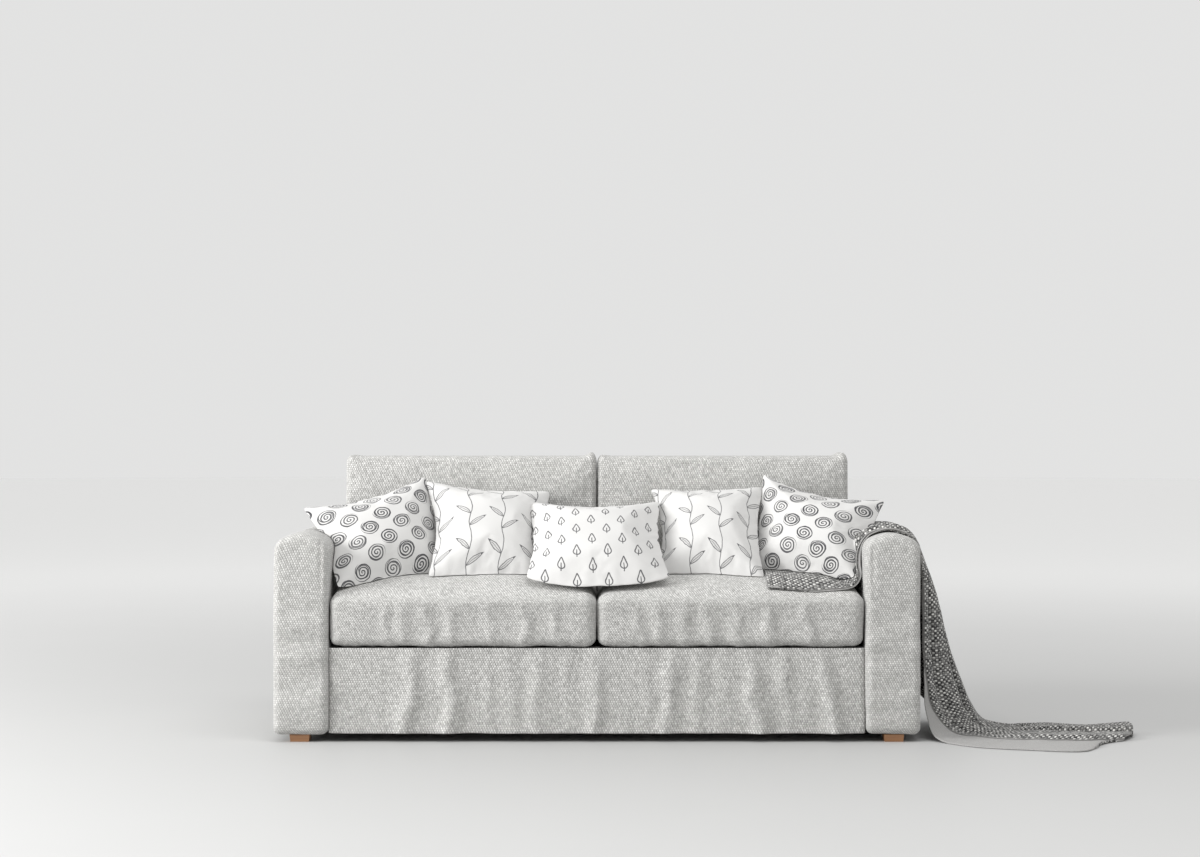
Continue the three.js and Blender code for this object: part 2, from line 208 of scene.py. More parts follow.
def floor_paint():
    paint = Finish("pale_floor", Roughness=0.55)
    place = paint.node("ShaderNodeTexCoord", {}, {}, "Object")
    x, y, _ = paint.split(place)
    distance = (x * x + y * y).root() / FLOOR_FADE_LENGTH
    cloud = paint.noise(place, 1.5) - 0.5
    fade = (distance + cloud * 0.02).clamped()
    paint.shade(Base_Color=paint.mix(fade * fade * (3.0 - 2.0 * fade), FLOOR_NEAR, FLOOR_FAR))
    return paint.material


floor_disc = bmesh.new()
bmesh.ops.create_circle(floor_disc, cap_ends=True, segments=96, radius=FLOOR_RADIUS)
floor = object_from("floor", floor_disc, floor_paint())

world = bpy.data.worlds.new("studio")
world.use_nodes = True
world.node_tree.nodes["Background"].inputs["Color"].default_value = STUDIO_COLOUR
world.node_tree.nodes["Background"].inputs["Strength"].default_value = STUDIO_STRENGTH
scene.world = world
scene.view_settings.view_transform = "Standard"


def soft_light(name, place, target, size, power):
    lamp = bpy.data.lights.new(name, "AREA")
    lamp.shape = "RECTANGLE"
    lamp.size = size[0]
    lamp.size_y = size[1]
    lamp.energy = power
    holder = bpy.data.objects.new(name, lamp)
    holder.location = place
    direction = Vector(target) - Vector(place)
    holder.rotation_euler = direction.to_track_quat("-Z", "Y").to_euler()
    scene.collection.objects.link(holder)


soft_light("left_light", place=(-6.5, -2.6, 2.6), target=(0, 0, 0.45), size=(2.6, 2.6), power=520)
soft_light("top_light", place=(0.3, -1.8, 4.2), target=(0, 0, 0.4), size=(3.0, 2.0), power=70)

# Arms
# Upright padded boards with an arched top, under a loose linen cover that is sewn from flat
# panels. The cover is soft at its front and rear edges and hangs down to just above the floor.

LINEN_LIGHT = (0.78, 0.775, 0.755, 1)
LINEN_DARK = (0.27, 0.267, 0.257, 1)
YARN_ALONG = 0.0080
YARN_ACROSS = 0.0068
YARN_STEP = 0.37
PANEL_GATHERING = 1.4


def linen(name, upright, level):
    """A coarse heathered weave of slubby yarns, on the flat panels' own UV map in metres.

    Each row of stitches stands a third of a stitch further along, so the light flecks run in
    slanting lines. Upright and level say how much the thick places of those yarns show.
    """
    cover = Finish(name, Roughness=0.95, Sheen_Weight=0.12, Specular_IOR_Level=0.15)
    cloth = cover.node("ShaderNodeUVMap", {"uv_map": "cloth"})
    u, v, _ = cover.split(cloth)
    wander = cover.noise(cloth, 9.0) - 0.5
    row = (v + wander * 0.006) / YARN_ACROSS
    stitch = (u + wander * 0.006) / YARN_ALONG + row.floor() * YARN_STEP
    strength = cover.chance(cover.point(stitch.floor(), row.floor()))
    height = abs((stitch * math.pi).sine()) * (0.4 + abs((row * math.pi).sine()) * 0.6)
    weft_slub = cover.noise(cover.point(u * 70, v * 230), 1.0, 2.0)
    warp_slub = cover.noise(cover.point(u * 230, v * 50, 7.0), 1.0, 2.0)
    fleck = height * (0.36 + strength * 0.53)
    slub = (weft_slub - 0.5) * level + (warp_slub - 0.5) * upright
    lit = (fleck + slub + 0.06).clamped()
    cover.shade(
        Base_Color=cover.mix(lit, LINEN_DARK, LINEN_LIGHT),
        Normal=cover.bump(height + slub * 0.6, 0.0012),
    )
    return cover.material


ARM_LINEN = linen("linen_cover_arms", 0.45, 0.30)
LINEN = linen("linen_cover", 0.85, 0.35)


def gathered(part):
    """Brings the cuts of a panel closer together towards its edges, where the shape turns."""
    return math.copysign(1 - (1 - abs(part)) ** PANEL_GATHERING, part)


def panelled_box(cuts, size):
    """A cube of cloth panels, two units wide, with a UV map in metres for that size.

    The top, back and bottom follow the front upward and downward, and the ends follow it to
    the left and right, so the weave runs on over the front's edges.
    """
    box = bmesh.new()
    bmesh.ops.create_cube(box, size=2)
    for axis in range(3):
        level = [e for e in box.edges if abs(e.verts[0].co[axis] - e.verts[1].co[axis]) > 0.001]
        bmesh.ops.subdivide_edges(box, edges=level, cuts=cuts[axis] - 1, use_grid_fill=True)
    cloth = box.loops.layers.uv.new("cloth")
    half = Vector(size) / 2
    for face in box.faces:
        normal = face.normal
        for loop in face.loops:
            x, y, z = (gathered(part) * reach for part, reach in zip(loop.vert.co, half))
            if abs(normal.x) > 0.5:
                u, v = normal.x * (half.x + half.y + y), z
            elif abs(normal.z) > 0.5:
                u, v = x, normal.z * (half.z + half.y + y)
            elif normal.y > 0.5:
                u, v = x, 2 * (half.z + half.y) - z
            else:
                u, v = x, z
            loop[cloth].uv = (u, v)
        face.smooth = True
    return box


def soft_corners(unit, half, rounding):
    """Where a point of the unit box lies on a box of half that size with rounded edges."""
    place = Vector([gathered(part) * size for part, size in zip(unit, half)])
    limit = [max(size - rounding, 0) for size in half]
    core = Vector([min(max(part, -end), end) for part, end in zip(place, limit)])
    outward = place - core
    return core + outward.normalized() * rounding if outward.length > 1e-9 else place


def ruffle(place, size, depth, seed, stretch=(1, 1, 1)):
    """A soft uneven swell of cloth: how far a place stands out from the smooth surface."""
    scaled = Vector([part / (size * grow) for part, grow in zip(place, stretch)])
    return depth * noise.noise(scaled + Vector((seed * 7.3, seed * 3.1, seed * 5.7)))


def lift(box, height_at):
    """Moves every point along its normal by the height that the function gives for place and normal."""
    box.normal_update()
    for vertex in box.verts:
        vertex.co += vertex.normal * height_at(vertex.co, vertex.normal)


def hump(place, centre, width):
    return math.exp(-(((place - centre) / width) ** 2))


def smooth_step(low, high, value):
    part = min(max((value - low) / (high - low), 0.0), 1.0)
    return part * part * (3 - 2 * part)


ARM_ROUNDING = 0.024
ARM_RISE = 0.038
ARM_CUTS = (30, 56, 60)
ARM_ARCH_POWER = 6
ARM_SEAM_INSET = 0.023
ARM_SEAM_FOOT = 0.47
ARM_SEAM_FADE = 0.08
ARM_SEAM_WIDTH = 0.006
ARM_SEAM_DEPTH = 0.004
ARM_SAG_RANGE = (0.25, 0.55)

# The size across and the depth of each kind of unevenness in the arms
ARM_PADDING = (0.16, 0.003)
ARM_WRINKLES = (0.05, 0.0012)
ARM_SAG = (0.055, 0.009)


def arm_relief(place, normal, inner, seed):
    """Uneven padding, sagging creases low on the front, and a seam up the front's inner side."""
    swell = ruffle(place, *ARM_PADDING, seed) + ruffle(place, *ARM_WRINKLES, seed + 1)
    front = max(0.0, -normal.y)
    low_down = 1 - smooth_step(*ARM_SAG_RANGE, place.z)
    sag = ruffle(place, *ARM_SAG, seed + 2, (3, 1, 0.8)) * low_down
    seam = hump(abs(place.x), inner + ARM_SEAM_INSET, ARM_SEAM_WIDTH)
    seam *= smooth_step(ARM_SEAM_FOOT - ARM_SEAM_FADE, ARM_SEAM_FOOT + ARM_SEAM_FADE, place.z)
    return swell + front * (sag - ARM_SEAM_DEPTH * seam)


def make_arm(name, seed):
    low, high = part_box(name)
    middle = (low + high) / 2
    half = (high - low) / 2
    rise = Vector((0, 0, ARM_RISE / 2))
    arm = panelled_box(ARM_CUTS, high - low)
    for vertex in arm.verts:
        place = soft_corners(vertex.co, half - rise, ARM_ROUNDING)
        top = (place.z + half.z) / (2 * half.z)
        arch = 1 - (place.x / half.x) ** 2
        place.z += ARM_RISE * (arch * top ** ARM_ARCH_POWER - 0.5)
        vertex.co = place + middle
    inner = min(abs(low.x), abs(high.x))
    lift(arm, lambda place, normal: arm_relief(place, normal, inner, seed))
    for vertex in arm.verts:
        vertex.co.x = min(max(vertex.co.x, low.x), high.x)
    piece = object_from(name + "_cover", arm, ARM_LINEN)
    soften(piece)
    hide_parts(name)
    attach(piece, "root")
    return piece


def soften(piece):
    smooth = piece.modifiers.new("smooth", "SUBSURF")
    smooth.levels = 1
    smooth.render_levels = 1


arms = {side: make_arm("arm_" + side, seed) for seed, side in enumerate(("left", "right"))}

# Back frame
# The upholstered panel between the arms that the back cushions lean on. Its cover falls straight
# behind from a rounded top edge to the hem.

BACK_ROUNDING = 0.02
BACK_LEAN = 0.06
BACK_PANEL_CUTS = (70, 10, 34)
BACK_UNEVENNESS = (0.2, 0.004)


def make_back():
    low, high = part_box("back_frame")
    middle = (low + high) / 2
    half = (high - low) / 2
    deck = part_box("seat_base")[1].z
    back = panelled_box(BACK_PANEL_CUTS, high - low)
    for vertex in back.verts:
        place = soft_corners(vertex.co, half, BACK_ROUNDING) + middle
        climb = min(max((place.z - deck) / (high.z - deck), 0), 1)
        forward = (high.y - place.y) / (high.y - low.y)
        place.y += BACK_LEAN * climb * forward
        vertex.co = place
    lift(back, lambda place, _normal: ruffle(place, *BACK_UNEVENNESS, 5, (1, 1, 2)))
    for vertex in back.verts:
        vertex.co.x = min(max(vertex.co.x, low.x), high.x)
        vertex.co.y = max(vertex.co.y, low.y)
    piece = object_from("back_cover", back, LINEN)
    soften(piece)
    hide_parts("back_frame")
    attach(piece, "root")


make_back()

# Seat base and skirt
# The base is a plain box between the arms. The cover hangs in front of it as a skirt that starts
# straight under the cushions and falls into soft upright folds, with a sewn hem.

SKIRT_THICKNESS = 0.003
SKIRT_FOLD_WIDTH = 0.024
SKIRT_FOLD_FULLNESS = 1.3
SKIRT_FOLDS_FROM_END = 0.03
SKIRT_TOP_CALM = 0.35
SKIRT_WANDER = (0.09, 0.016)
SKIRT_WRINKLES = (0.04, 0.0025)
SKIRT_END_ROUNDING = 0.012
SKIRT_END_DEPTH = 0.010
SKIRT_FORWARD = 0.004
SKIRT_CLEARANCE = 0.001
SKIRT_HEM_LIFT = 0.06
SKIRT_HEM_WAVE = 0.002
SKIRT_CUTS = (300, 40)

# Each fold: where its crest is under the cushions and at the hem, and how far it stands out there.
SKIRT_FOLDS = [
    (-0.565, -0.596, 0.009, 0.010), (-0.451, -0.451, 0.010, 0.011), (-0.339, -0.330, 0.004, 0.001),
    (-0.274, -0.250, 0.004, 0.003), (-0.185, -0.191, 0.006, 0.005), (-0.092, -0.092, 0.004, 0.000),
    (-0.003, -0.006, 0.007, 0.008), (0.149, 0.149, 0.005, 0.001), (0.226, 0.220, 0.008, 0.009),
    (0.303, 0.303, 0.007, 0.001), (0.390, 0.390, 0.004, 0.001), (0.464, 0.504, 0.007, 0.014),
    (0.578, 0.591, 0.007, 0.003), (0.690, 0.745, 0.008, 0.014),
]


def base_lining():
    lining = Finish("base_lining", Roughness=0.95)
    place = lining.node("ShaderNodeTexCoord", {}, {}, "Object")
    thread = lining.noise(place, 700.0)
    lining.shade(
        Base_Color=lining.mix(thread, (0.16, 0.16, 0.155, 1), (0.28, 0.275, 0.27, 1)),
        Normal=lining.bump(thread, 0.0004),
    )
    return lining.material


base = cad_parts["seat_base"]
base.data.materials.clear()
base.data.materials.append(base_lining())


def flat_cloth(columns, rows, width, length):
    """A flat rectangle of cloth in the XY plane from the origin, with its UV map in metres."""
    sheet = bmesh.new()
    bmesh.ops.create_grid(sheet, x_segments=columns, y_segments=rows, size=0.5)
    bmesh.ops.translate(sheet, verts=sheet.verts, vec=(0.5, 0.5, 0))
    bmesh.ops.scale(sheet, verts=sheet.verts, vec=(width, length, 1))
    cloth = sheet.loops.layers.uv.new("cloth")
    for face in sheet.faces:
        face.smooth = True
        for loop in face.loops:
            loop[cloth].uv = loop.vert.co.xy
    return sheet


def fold_height(x, drop, folds, width):
    """How far the cloth stands out at x, and at that share of the way down from top to hem."""
    height = 0.0
    for top, foot, top_height, foot_height in folds:
        crest = top + (foot - top) * drop
        height += (top_height + (foot_height - top_height) * drop) * hump(x, crest, width)
    return height


def make_skirt():
    low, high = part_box("skirt_front")
    width = high.x - low.x
    height = high.z - low.z
    skirt = flat_cloth(*SKIRT_CUTS, width, height)
    for vertex in skirt.verts:
        x = low.x + vertex.co.x
        z = low.z + vertex.co.y
        drop = (high.z - z) / height
        from_end = min(x - low.x, high.x - x)
        calm = min(1, SKIRT_TOP_CALM + 2 * drop)
        wander = ruffle((x, 0, z), *SKIRT_WANDER, 13)
        fold = SKIRT_FOLD_FULLNESS * fold_height(x + wander, drop, SKIRT_FOLDS, SKIRT_FOLD_WIDTH) * calm
        fold += ruffle((x, z, 0), *SKIRT_WRINKLES, 12, (1, 3, 1)) * calm
        fold_here = fold * smooth_step(0, SKIRT_FOLDS_FROM_END, from_end)
        y = high.y - SKIRT_THICKNESS - SKIRT_CLEARANCE - fold_here
        round_end = max(0, 1 - from_end / SKIRT_END_ROUNDING)
        hem_wave = SKIRT_HEM_WAVE * noise.noise(Vector((x * 9, 0, 40)))
        hem = (SKIRT_HEM_LIFT * fold + hem_wave) * drop
        y = min(y + SKIRT_END_DEPTH * round_end ** 2, high.y - SKIRT_THICKNESS / 2)
        y -= SKIRT_FORWARD * (1 - round_end)
        vertex.co = (x, y, z + hem)
    piece = object_from("skirt", skirt, LINEN)
    wall = piece.modifiers.new("thickness", "SOLIDIFY")
    wall.thickness = SKIRT_THICKNESS
    wall.offset = 0
    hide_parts("skirt_front")
    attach(piece, "root")


make_skirt()

# Feet
# Short tapered oak blocks, oiled, one screwed under each end of the arms and one under the middle.


def oak():
    wood = Finish("foot_wood", Roughness=0.45)
    place = wood.node("ShaderNodeTexCoord", {}, {}, "Object")
    x, y, z = wood.split(place)
    grain = wood.noise(wood.point(x * 12, y * 12, z * 160), 1.0, 4.0)
    wood.shade(
        Base_Color=wood.mix(grain, (0.17, 0.075, 0.03, 1), (0.42, 0.22, 0.11, 1)),
        Normal=wood.bump(grain, 0.0006),
    )
    return wood.material


OAK = oak()
for name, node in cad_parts.items():
    if name.startswith("foot_"):
        node.data.materials.clear()
        node.data.materials.append(OAK)

# Seat and back cushions
# Loose box cushions of foam and soft filling in linen covers. The seats swell towards their
# middles and bulge over the skirt, and the backs stand on them and lean on the frame.

CUSHION_FRAMES = 14
SEAT_CUTS = (90, 46, 22)
BACK_CUTS = (70, 16, 40)
SEAT_ROUNDING = 0.036
BACK_ROUNDING_SOFT = 0.022
CUSHION_SWELL = 0.013
CUSHION_EDGE_GIVE = 0.15
CUSHION_FULLNESS = 0.7
CUSHION_PRESSURE = 3.0
CUSHION_ROOM = (0.0005, 0.005, 0.004)
SEAT_GIVE = (1, 1, 1)
BACK_GIVE = (0.3, 1, 0.1)
SEAT_EDGE = 0.456
SEAT_FRONT = 0.16
SEAT_PRESSED = 0.486
SEAT_PRESSED_BEHIND = 0.04
SEAT_PRESSED_RANGE = (0.34, 0.50)
SEAT_RISE_RANGE = (-0.95, -0.30)
SEAT_END_FULLNESS = 0.30
SEAT_END_POWER = 2.4
SEAT_CREASE_WIDTH = 0.017
SEAT_CREASE_FULLNESS = 1.5
SEAT_CREASE_SINK = 0.006
SEAT_CREASE_FADE = (0.075, 0.005)
BACK_CUSHION_LEAN = 0.023
BACK_CUSHION_SET_IN = 0.008
BACK_SEAM_WIDTH = 0.006
BACK_SEAM_DEPTH = 0.003
EAR_INSET = 0.016
EAR_WIDTH = 0.015
EAR_FROM = 0.55
EAR_HIGH = 0.013
EAR_LOW = 0.004

# The size across and the depth of each kind of unevenness in the cushions
SEAT_FILLING = (0.09, 0.004)
SEAT_WANDER = (0.06, 0.022)
SEAT_SCALLOPS = (0.022, 0.0025)
BACK_FILLING = (0.10, 0.004)
BACK_WRINKLES = (0.03, 0.0008)

# Each crease in the fronts of the seats: where its crest is at the top and at the bottom, and
# how far it stands out there.
SEAT_CREASES = [
    (-0.666, -0.641, 0.006, 0.003), (-0.604, -0.595, 0.005, 0.004), (-0.530, -0.524, 0.007, 0.005),
    (-0.456, -0.450, 0.006, 0.005), (-0.351, -0.326, 0.005, 0.003), (-0.221, -0.221, 0.009, 0.005),
    (-0.135, -0.120, 0.006, 0.003), (0.109, 0.142, 0.004, 0.004), (0.167, 0.201, 0.008, 0.004),
    (0.266, 0.272, 0.006, 0.005), (0.337, 0.346, 0.009, 0.004), (0.426, 0.435, 0.005, 0.005),
    (0.528, 0.528, 0.010, 0.006), (0.642, 0.657, 0.007, 0.005),
]


def draped(pieces, frames, pressure, stiffness=15, bending=0.5):
    """Lets the covers of the pieces swell with their filling, and returns where their points go."""
    for piece in pieces:
        cloth = piece.modifiers.new("cloth", "CLOTH")
        cloth.settings.quality = 5
        cloth.settings.mass = 0.3
        cloth.settings.tension_stiffness = stiffness
        cloth.settings.compression_stiffness = stiffness
        cloth.settings.shear_stiffness = stiffness / 3
        cloth.settings.bending_stiffness = bending
        cloth.settings.use_pressure = True
        cloth.settings.uniform_pressure_force = pressure
        cloth.settings.effector_weights.gravity = 0
        cloth.point_cache.frame_start = 1
        cloth.point_cache.frame_end = frames
    for number in range(1, frames + 1):
        scene.frame_set(number)
    graph = bpy.context.evaluated_depsgraph_get()
    places = []
    for piece in pieces:
        swollen = piece.evaluated_get(graph)
        places.append([vertex.co.copy() for vertex in swollen.data.vertices])
    for piece in pieces:
        piece.modifiers.remove(piece.modifiers["cloth"])
    scene.frame_set(1)
    return places


def cushion_box(name, cuts, rounding, shape, relief):
    low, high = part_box(name)
    middle = (low + high) / 2
    half = (high - low) / 2 - Vector(CUSHION_ROOM)
    box = panelled_box(cuts, high - low)
    for vertex in box.verts:
        place = soft_corners(vertex.co, half, rounding)
        vertex.co = shape(vertex.co.copy(), place + middle, low, high)
    lift(box, relief)
    return object_from(name + "_cover", box, LINEN)


def seat_top(unit, crown):
    """Height of the seat's upper side: low at the front edge and ends, full behind, then pressed flat."""
    fullness = SEAT_END_FULLNESS + (1 - SEAT_END_FULLNESS) * (1 - abs(unit.x) ** SEAT_END_POWER)
    fullness *= smooth_step(*SEAT_RISE_RANGE, unit.y)
    top = SEAT_EDGE + (crown - SEAT_EDGE) * fullness
    return top + (SEAT_PRESSED - top) * smooth_step(*SEAT_PRESSED_RANGE, unit.y)


def seat_shape(unit, place, low, high):
    climb = (place.z - low.z) / (high.z - low.z)
    place.z = low.z + climb * (seat_top(unit, high.z) - low.z)
    return place


def seat_relief(place, normal):
    """Uneven filling, and upright creases in the front."""
    drop = min(max((SEAT_EDGE - place.z) / SEAT_FRONT, 0), 1)
    along = place.x + ruffle(place, *SEAT_WANDER, 21)
    crease = SEAT_CREASE_FULLNESS * fold_height(along, drop, SEAT_CREASES, SEAT_CREASE_WIDTH)
    crease -= SEAT_CREASE_SINK
    fade_from, fade_to = (SEAT_EDGE - below for below in SEAT_CREASE_FADE)
    crease *= 1 - smooth_step(fade_from, fade_to, place.z)
    scallop = ruffle(place, *SEAT_SCALLOPS, 22, (1, 3, 1)) * smooth_step(0.75, 1.0, drop)
    return ruffle(place, *SEAT_FILLING, 20) + scallop + max(0.0, -normal.y) * crease


def back_shape(unit, place, low, high):
    """Leans the cushion on the frame and draws its upper corners out into small ears."""
    climb = (place.z - low.z) / (high.z - low.z)
    from_end = min(place.x - low.x, high.x - place.x)
    ear = hump(from_end, EAR_INSET, EAR_WIDTH) * smooth_step(EAR_FROM, 1.0, unit.z)
    seam = hump(from_end, EAR_INSET + EAR_WIDTH, BACK_SEAM_WIDTH) if unit.x > 0 else 0.0
    place.y += BACK_CUSHION_LEAN * (climb - 0.5)
    if unit.y < 0:
        place.y += BACK_CUSHION_SET_IN + BACK_SEAM_DEPTH * seam
    place.z += (EAR_HIGH if unit.x > 0 else EAR_LOW) * ear
    return place


def back_relief(place, normal):
    filling = ruffle(place, *BACK_FILLING, 30) * max(0.0, -normal.y)
    return filling + ruffle(place, *BACK_WRINKLES, 31)


cushions = {}
for side in ("left", "right"):
    name = "seat_cushion_" + side
    cushions[name] = cushion_box(name, SEAT_CUTS, SEAT_ROUNDING, seat_shape, seat_relief)
    name = "back_cushion_" + side
    cushions[name] = cushion_box(name, BACK_CUTS, BACK_ROUNDING_SOFT, back_shape, back_relief)

swollen = draped(list(cushions.values()), CUSHION_FRAMES, CUSHION_PRESSURE)
for (name, piece), places in zip(cushions.items(), swollen):
    low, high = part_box(name)
    on_seat = name.startswith("seat")
    give = Vector(SEAT_GIVE if on_seat else BACK_GIVE)
    normals = [vertex.normal.copy() for vertex in piece.data.vertices]
    moves = [(place - vertex.co) * give for vertex, place in zip(piece.data.vertices, places)]
    furthest = max(move.length for move in moves)
    for vertex, normal, move in zip(piece.data.vertices, normals, moves):
        if move.dot(normal) < 0:
            move *= CUSHION_EDGE_GIVE
        move.length = CUSHION_SWELL * (move.length / furthest) ** CUSHION_FULLNESS
        moved = vertex.co + move
        moved.x = min(max(moved.x, low.x), high.x)
        moved.z = max(moved.z, low.z)
        if on_seat and moved.y > SEAT_PRESSED_BEHIND:
            moved.z = min(moved.z, SEAT_PRESSED)
        vertex.co = moved
    soften(piece)
    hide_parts(name)
    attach(piece, "root")

# Throw
# One wool blanket folded double along its length, its plain side inward. It lies on the seat,
# hangs over the right arm and runs out on the floor, where the lower half comes out in front.

BLANKET_LENGTH = 1.90
BLANKET_HALF = 0.42
BLANKET_BEND = 0.012
BLANKET_EXTRA = 0.23
BLANKET_WIDTH = 2 * BLANKET_HALF + BLANKET_BEND + BLANKET_EXTRA
BLANKET_WALL = 0.0034
BLANKET_LIFT = 0.0037
BLANKET_LOW = 0.0044
BLANKET_OFF_FLOOR = 0.001
BLANKET_COLUMNS = 230
BLANKET_STITCH_LONG = 0.0078
BLANKET_STITCH_WIDE = 0.0105
BLANKET_DARK = (0.022, 0.022, 0.022, 1)
BLANKET_PALE = (0.84, 0.83, 0.80, 1)
BLANKET_ROWS = 60
BLANKET_BEND_ROWS = 6
BLANKET_LINE_SAMPLES = 600
BLANKET_RUFFLE = (0.07, 0.0025)
BLANKET_ON_SEAT = 0.002
SEAT_PART_END = 0.74
SEAT_PART_LOWEST = 0.4
PLAIN_THREAD = 0.0022
# The plain side's greys are the wool's own light grey, darkened all over with painted shade.
PLAIN_DARK_SHADED = (0.25, 0.245, 0.24, 1)
PLAIN_PALE_SHADED = (0.46, 0.455, 0.445, 1)

# Each fold: how far it stands out, where it is from the front edge to the bend, and its width.
HANGING_FOLDS = [(-0.060, 0.30, 0.038), (-0.020, 0.09, 0.028), (0.010, 0.21, 0.05), (-0.030, 0.68, 0.07)]
FRONT_ROLL = 0.011
REAR_ROLL = 0.009
ROLL_VALLEY = (0.013, 0.40, 0.035)
REAR_EDGE_DROP = 0.020
SOFA_CREASE = 0.008
CURLED_TIP = 0.008

THROW_FRONT_LINE = [
    (0.530, -0.385, 0.464), (0.640, -0.387, 0.468), (0.745, -0.383, 0.471), (0.798, -0.362, 0.478),
    (0.822, -0.325, 0.508), (0.821, -0.305, 0.548), (0.828, -0.295, 0.594), (0.850, -0.290, 0.632),
    (0.885, -0.290, 0.650), (0.9145, -0.290, 0.6555), (0.950, -0.290, 0.651), (0.985, -0.288, 0.635),
    (1.010, -0.286, 0.600), (1.025, -0.295, 0.500), (1.026, -0.300, 0.400), (1.027, -0.300, 0.290),
    (1.033, -0.300, 0.180), (1.052, -0.298, 0.090), (1.110, -0.306, 0.022), (1.190, -0.335, 0.007),
    (1.275, -0.380, 0.005), (1.379, -0.405, 0.005), (1.500, -0.415, 0.005), (1.630, -0.400, 0.005),
]
THROW_MIDDLE_LINE = [
    (0.530, -0.165, 0.500), (0.630, -0.165, 0.500), (0.715, -0.165, 0.498), (0.764, -0.162, 0.512),
    (0.792, -0.158, 0.545), (0.803, -0.155, 0.582), (0.820, -0.155, 0.616), (0.848, -0.155, 0.640),
    (0.883, -0.155, 0.654), (0.9145, -0.155, 0.658), (0.950, -0.150, 0.654), (0.985, -0.130, 0.637),
    (1.016, -0.100, 0.600), (1.060, -0.090, 0.500), (1.094, -0.090, 0.400), (1.124, -0.070, 0.290),
    (1.164, -0.050, 0.180), (1.206, -0.045, 0.085), (1.245, -0.070, 0.028), (1.320, -0.120, 0.008),
    (1.390, -0.195, 0.005), (1.470, -0.238, 0.005), (1.580, -0.262, 0.005), (1.689, -0.258, 0.005),
]
THROW_REAR_LINE = [
    (0.530, 0.030, 0.500), (0.630, 0.030, 0.500), (0.700, 0.030, 0.498), (0.752, 0.025, 0.512),
    (0.785, 0.015, 0.550), (0.803, 0.000, 0.590), (0.825, -0.010, 0.620), (0.853, -0.015, 0.641),
    (0.885, -0.015, 0.655), (0.9145, -0.010, 0.658), (0.950, 0.000, 0.654), (0.985, 0.030, 0.637),
    (1.008, 0.070, 0.600), (1.013, 0.120, 0.500), (1.016, 0.150, 0.400), (1.024, 0.155, 0.290),
    (1.032, 0.150, 0.180), (1.080, 0.135, 0.080), (1.205, 0.080, 0.020), (1.309, 0.000, 0.005),
    (1.385, -0.095, 0.005), (1.474, -0.155, 0.005), (1.570, -0.180, 0.005), (1.672, -0.165, 0.005),
]
LINING_REACH = [
    (0, 0, 0), (0, 0, 0), (0, -0.004, 0), (0, -0.006, 0),
    (0.002, -0.008, 0), (0.002, -0.008, 0), (0, -0.008, 0), (0, -0.008, 0),
    (0, -0.008, 0), (0, -0.008, 0), (0, -0.008, 0), (0, -0.008, 0),
    (-0.004, 0.010, 0), (-0.005, 0.016, 0), (-0.005, 0.016, 0), (-0.005, 0.012, 0),
    (-0.006, -0.008, 0), (-0.024, -0.043, 0), (-0.066, -0.096, 0), (-0.100, -0.142, -0.003),
    (-0.115, -0.178, -0.002), (-0.089, -0.212, -0.002), (-0.040, -0.236, -0.002), (-0.077, -0.050, -0.002),
]


def blanket_weave(name):
    """A coarse basket weave of melange yarn, dark grey with white flecks."""
    wool = Finish(name, Roughness=1.0, Sheen_Weight=0.2, Specular_IOR_Level=0.1)
    cloth = wool.node("ShaderNodeUVMap", {"uv_map": "cloth"})
    u, v, _ = wool.split(cloth)
    wander = wool.noise(cloth, 12.0) - 0.5
    along = (u + wander * 0.008) / BLANKET_STITCH_LONG
    across = (v + wander * 0.008) / BLANKET_STITCH_WIDE
    over = (along.floor() + across.floor()) % 2
    height = abs((along * math.pi).sine()) * abs((across * math.pi).sine())
    strength = wool.chance(wool.point(along.floor(), across.floor()))
    ply = wool.noise(wool.point(along * 0.8, across * 0.4, 9.0), 1.0, 2.0) - 0.5
    light = over * (0.30 + strength * 0.84) + (1 - over) * strength * 0.30
    tone = (light * height.root() + ply * 0.75).clamped()
    wool.shade(
        Base_Color=wool.mix(tone, BLANKET_DARK, BLANKET_PALE),
        Normal=wool.bump(height + ply * 0.5, 0.0025),
    )
    return wool.material


def plain_side_with_painted_shade(name):
    """The blanket's plain inner side: fine light grey wool, its greys darkened all over with painted
    shade.
    """
    wool = Finish(name, Roughness=1.0, Sheen_Weight=0.15, Specular_IOR_Level=0.1)
    cloth = wool.node("ShaderNodeUVMap", {"uv_map": "cloth"})
    u, v, _ = wool.split(cloth)
    thread = abs((u / PLAIN_THREAD * math.pi).sine()) * abs((v / PLAIN_THREAD * math.pi).sine())
    fuzz = wool.noise(cloth, 260.0, 3.0)
    tone = (thread * 0.5 + fuzz * 0.7).clamped()
    wool.shade(
        Base_Color=wool.mix(tone, PLAIN_DARK_SHADED, PLAIN_PALE_SHADED),
        Normal=wool.bump(tone, 0.0008),
    )
    return wool.material


def along_line(line, share):
    """The point at a share of a smooth line through the given points."""
    stretch = share * (len(line) - 1)
    start = min(int(stretch), len(line) - 2)
    part = stretch - start
    before, first, second, after = (
        Vector(line[min(max(start + step, 0), len(line) - 1)]) for step in (-1, 0, 1, 2)
    )
    pull_first = (second - before) / 2
    pull_second = (after - first) / 2
    curve = first * (2 * part ** 3 - 3 * part ** 2 + 1) + pull_first * (part ** 3 - 2 * part ** 2 + part)
    return curve + second * (3 * part ** 2 - 2 * part ** 3) + pull_second * (part ** 3 - part ** 2)


def even_shares(line, count):
    """Shares of the line that lie at even distances along it."""
    samples = BLANKET_LINE_SAMPLES
    points = [along_line(line, number / samples) for number in range(samples + 1)]
    lengths = [0.0]
    for first, second in zip(points, points[1:]):
        lengths.append(lengths[-1] + (second - first).length)
    shares = []
    sample = 0
    for number in range(count + 1):
        target = lengths[-1] * number / count
        while sample < samples - 1 and lengths[sample + 1] < target:
            sample += 1
        span = lengths[sample + 1] - lengths[sample]
        shares.append(min((sample + (target - lengths[sample]) / span) / samples, 1.0))
    return shares


